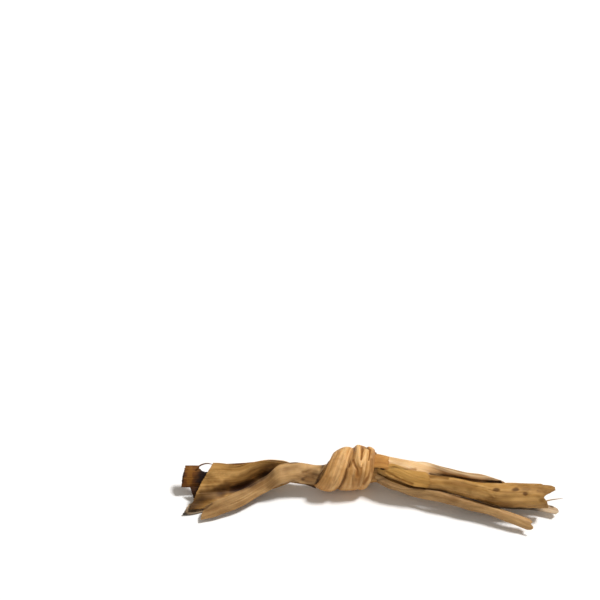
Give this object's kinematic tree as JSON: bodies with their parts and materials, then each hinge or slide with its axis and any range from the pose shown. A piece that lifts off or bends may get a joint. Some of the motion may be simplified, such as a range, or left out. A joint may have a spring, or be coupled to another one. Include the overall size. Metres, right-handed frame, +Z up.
{
  "type": "bundle of dried banana leaves",
  "caption": "Long dried banana leaf strips gathered side by side, pinched at the middle and bound by a wide leaf strip wound round them, with loose cut ends.",
  "frame": {"origin": "on the table, at the middle of the bundle's footprint", "axes": "+X along the bundle from its broad end to its ragged end, +Y to its back, +Z up"},
  "size_m": [0.1808, 0.0422, 0.0208],
  "materials": {
    "broad_leaf": "matte",
    "front_leaf": "matte",
    "back_leaf": "matte",
    "stub_leaf": "matte",
    "under_leaf": "matte",
    "short_leaf": "matte",
    "tie_strip": "matte"
  },
  "bodies": {
    "root": {"broad_leaf": "broad_leaf", "front_leaf": "front_leaf", "back_leaf": "back_leaf", "stub_leaf": "stub_leaf", "under_leaf": "under_leaf", "short_leaf": "short_leaf", "tie_strip": "tie_strip"}
  },
  "joints": []
}
